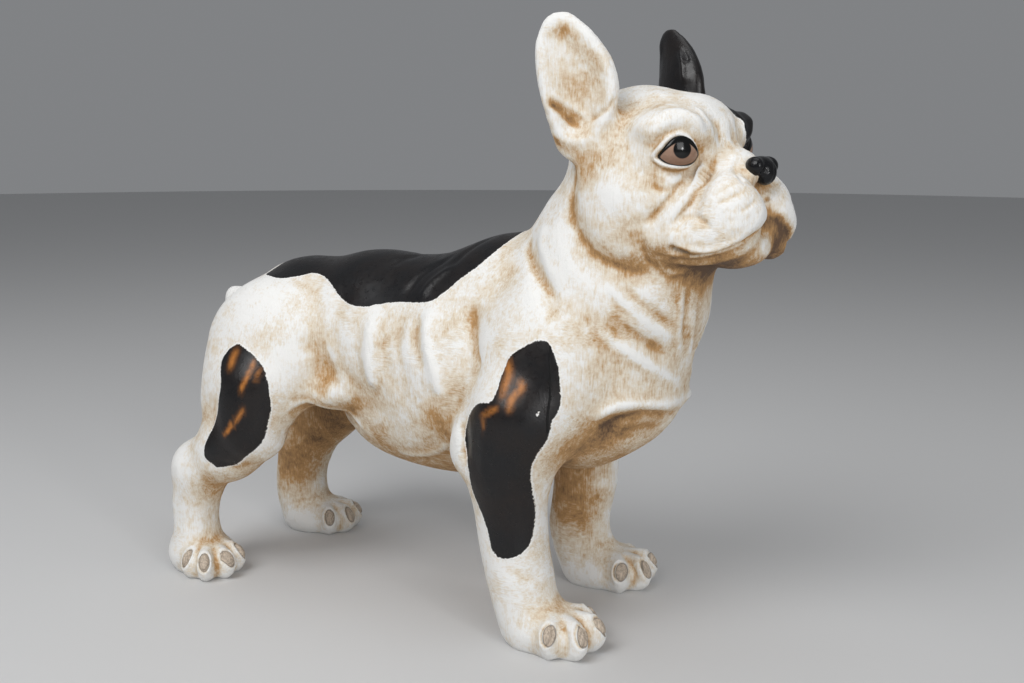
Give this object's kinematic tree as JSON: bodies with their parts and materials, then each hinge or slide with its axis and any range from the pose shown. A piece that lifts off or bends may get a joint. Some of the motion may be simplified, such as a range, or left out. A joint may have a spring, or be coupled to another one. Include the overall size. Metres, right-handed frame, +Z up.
{
  "type": "dog statue",
  "caption": "French bulldog garden statue, cast in one, standing on its paws with the head turned a little and both ears up.",
  "frame": {"origin": "on the ground under the middle of the statue's outline", "axes": "-Y the way the dog faces, -X its right side, +Z up"},
  "size_m": [0.1798, 0.454, 0.3993],
  "materials": {
    "whitewash": "cast resin, tan base coat dry-brushed with white, with glossy black painted patches"
  },
  "bodies": {
    "root": {"bulldog_statue": "whitewash"}
  },
  "joints": []
}
